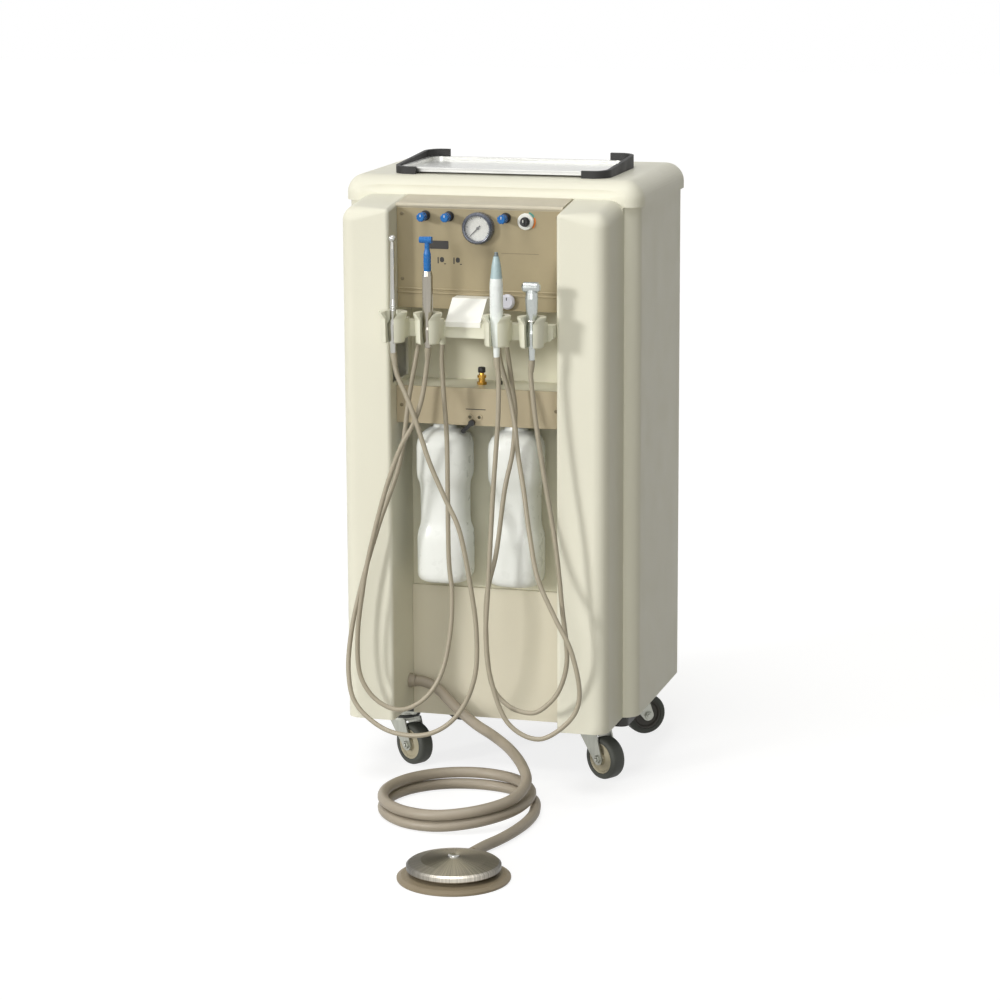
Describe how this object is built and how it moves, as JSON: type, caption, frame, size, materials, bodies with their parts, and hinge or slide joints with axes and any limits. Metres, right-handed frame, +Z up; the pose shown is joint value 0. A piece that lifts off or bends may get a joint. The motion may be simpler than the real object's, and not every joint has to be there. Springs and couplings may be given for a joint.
{
  "type": "portable dental unit",
  "caption": "Wheeled cream cabinet with a control panel, hanging dental instruments on hoses, two bottles, a lift-off tray and a foot control.",
  "frame": {"origin": "floor level, middle of the rectangle that cabinet and foot control stand in", "axes": "+X to the user's right facing the cabinet front, +Y to the rear, +Z up"},
  "size_m": [0.452, 0.872, 0.9199],
  "materials": {
    "cream_plastic": "semi-gloss moulded cream",
    "frame_black": "black satin",
    "tan_panel": "satin tan",
    "black_plastic": "satin black",
    "blue_plastic": "gloss blue",
    "white_plastic": "gloss white",
    "chrome": "polished",
    "brass": "satin",
    "painted_bar": "satin cream",
    "white_metal": "satin white",
    "cup_plastic": "semi-gloss cream",
    "hose": "satin taupe",
    "foot_hose": "satin brown grey",
    "bottle": "translucent milky white",
    "tray_steel": "satin stainless",
    "rail_rubber": "matte black",
    "zinc_steel": "zinc grey",
    "tyre": "dark grey rubber with tan hub",
    "foot_plastic": "satin tan",
    "pedal_steel": "radially brushed",
    "compressor": "dark cast"
  },
  "bodies": {
    "cabinet": {"base_frame": "frame_black", "cabinet_shell": "cream_plastic", "rear_panel": "cream_plastic", "left_column": "cream_plastic", "right_column": "cream_plastic", "top_cover": "cream_plastic", "control_panel": "tan_panel", "recess_liner": "cream_plastic", "service_box": "cream_plastic", "service_panel": "tan_panel", "lower_front_panel": "cream_plastic", "valve_bushings": "black_plastic", "selector_dial": "white_plastic", "pressure_gauge": "chrome", "gauge_dial": "white_plastic", "brass_coupling": "brass", "holder_bar": "painted_bar", "holder_bracket": "white_metal", "holder_cup_1": "cup_plastic", "holder_cup_2": "cup_plastic", "holder_cup_3": "cup_plastic", "holder_cup_4": "cup_plastic", "instrument_hose_1": "hose", "instrument_hose_2": "hose", "instrument_hose_3": "hose", "instrument_hose_4": "hose", "bottle_caps": "black_plastic", "tray_rail_left": "rail_rubber", "tray_rail_right": "rail_rubber", "caster_plates": "zinc_steel", "foot_base": "foot_plastic", "foot_hose": "foot_hose", "hose_gland": "black_plastic", "air_compressor": "compressor", "power_inlet": "frame_black"},
    "air_valve": {"air_knob": "blue_plastic"},
    "water_valve": {"water_knob": "blue_plastic"},
    "coolant_valve": {"coolant_knob": "blue_plastic"},
    "selector": {"selector_knob": "black_plastic"},
    "low_control": {"round_control": "white_plastic"},
    "needle": {"gauge_needle": "black_plastic"},
    "lever": {"drain_lever": "black_plastic"},
    "syringe": {"air_water_syringe": "chrome"},
    "ejector": {"saliva_ejector": "chrome", "ejector_tip": "blue_plastic"},
    "scaler": {"scaler_handpiece": "white_plastic"},
    "turbine": {"turbine_handpiece": "chrome"},
    "left_bottle": {"water_bottle": "bottle"},
    "right_bottle": {"waste_bottle": "bottle"},
    "tray": {"instrument_tray": "tray_steel"},
    "pedal": {"foot_pedal": "pedal_steel"},
    "fork_front_left": {"caster_fork_1": "zinc_steel"},
    "wheel_front_left": {"caster_wheel_1": "tyre"},
    "fork_front_right": {"caster_fork_2": "zinc_steel"},
    "wheel_front_right": {"caster_wheel_2": "tyre"},
    "fork_rear_left": {"caster_fork_3": "zinc_steel"},
    "wheel_rear_left": {"caster_wheel_3": "tyre"},
    "fork_rear_right": {"caster_fork_4": "zinc_steel"},
    "wheel_rear_right": {"caster_wheel_4": "tyre"}
  },
  "joints": [
    {"name": "air_valve_turn", "type": "hinge", "parent": "cabinet", "child": "air_valve", "pos_m": [-0.081, 0.054, 0.85], "axis": [0, 1, 0], "range_deg": [0, 270]},
    {"name": "water_valve_turn", "type": "hinge", "parent": "cabinet", "child": "water_valve", "pos_m": [-0.045, 0.054, 0.85], "axis": [0, 1, 0], "range_deg": [0, 270]},
    {"name": "coolant_valve_turn", "type": "hinge", "parent": "cabinet", "child": "coolant_valve", "pos_m": [0.04, 0.054, 0.85], "axis": [0, 1, 0], "range_deg": [0, 270]},
    {"name": "selector_turn", "type": "hinge", "parent": "cabinet", "child": "selector", "pos_m": [0.07, 0.059, 0.8455], "axis": [0, 1, 0], "range_deg": [-60, 60]},
    {"name": "low_control_turn", "type": "hinge", "parent": "cabinet", "child": "low_control", "pos_m": [0.043, 0.069, 0.729], "axis": [0, 1, 0], "range_deg": [0, 270]},
    {"name": "needle_sweep", "type": "hinge", "parent": "cabinet", "child": "needle", "pos_m": [0, 0.066, 0.8345], "axis": [0, 1, 0], "range_deg": [0, 270]},
    {"name": "lever_turn", "type": "hinge", "parent": "cabinet", "child": "lever", "pos_m": [-0.008, 0.056, 0.551], "axis": [0, 1, 0], "range_deg": [-90, 0]},
    {"name": "syringe_lift", "type": "slide", "parent": "cabinet", "child": "syringe", "axis": [0, 0, 1], "range_m": [0, 0.06]},
    {"name": "ejector_lift", "type": "slide", "parent": "cabinet", "child": "ejector", "axis": [0, 0, 1], "range_m": [0, 0.06]},
    {"name": "scaler_lift", "type": "slide", "parent": "cabinet", "child": "scaler", "axis": [0, 0, 1], "range_m": [0, 0.06]},
    {"name": "turbine_lift", "type": "slide", "parent": "cabinet", "child": "turbine", "axis": [0, 0, 1], "range_m": [0, 0.06]},
    {"name": "left_bottle_unscrew", "type": "hinge", "parent": "cabinet", "child": "left_bottle", "pos_m": [-0.0585, 0.089, 0.546], "axis": [0, 0, -1], "range_deg": [0, 90]},
    {"name": "right_bottle_unscrew", "type": "hinge", "parent": "cabinet", "child": "right_bottle", "pos_m": [0.0505, 0.089, 0.546], "axis": [0, 0, -1], "range_deg": [0, 90]},
    {"name": "tray_lift", "type": "slide", "parent": "cabinet", "child": "tray", "axis": [0, 0, 1], "range_m": [0, 0.08]},
    {"name": "pedal_press", "type": "slide", "parent": "cabinet", "child": "pedal", "axis": [0, 0, -1], "range_m": [0, 0.005], "stiffness_N_per_m": 2000, "springref_m": -0.008},
    {"name": "front_left_swivel", "type": "hinge", "parent": "cabinet", "child": "fork_front_left", "pos_m": [-0.15, 0.164, 0.075], "axis": [0, 0, 1], "continuous": true},
    {"name": "front_left_wheel", "type": "hinge", "parent": "fork_front_left", "child": "wheel_front_left", "pos_m": [-0.12987, 0.15093, 0.032], "axis": [0.5446, 0.8387, 0], "continuous": true},
    {"name": "front_right_swivel", "type": "hinge", "parent": "cabinet", "child": "fork_front_right", "pos_m": [0.15, 0.164, 0.075], "axis": [0, 0, 1], "continuous": true},
    {"name": "front_right_wheel", "type": "hinge", "parent": "fork_front_right", "child": "wheel_front_right", "pos_m": [0.17013, 0.15093, 0.032], "axis": [0.5446, 0.8387, 0], "continuous": true},
    {"name": "rear_left_swivel", "type": "hinge", "parent": "cabinet", "child": "fork_rear_left", "pos_m": [-0.15, 0.392, 0.075], "axis": [0, 0, 1], "continuous": true},
    {"name": "rear_left_wheel", "type": "hinge", "parent": "fork_rear_left", "child": "wheel_rear_left", "pos_m": [-0.13083, 0.40644, 0.032], "axis": [-0.6018, 0.7986, 0], "continuous": true},
    {"name": "rear_right_swivel", "type": "hinge", "parent": "cabinet", "child": "fork_rear_right", "pos_m": [0.15, 0.392, 0.075], "axis": [0, 0, 1], "continuous": true},
    {"name": "rear_right_wheel", "type": "hinge", "parent": "fork_rear_right", "child": "wheel_rear_right", "pos_m": [0.16917, 0.40644, 0.032], "axis": [-0.6018, 0.7986, 0], "continuous": true}
  ]
}
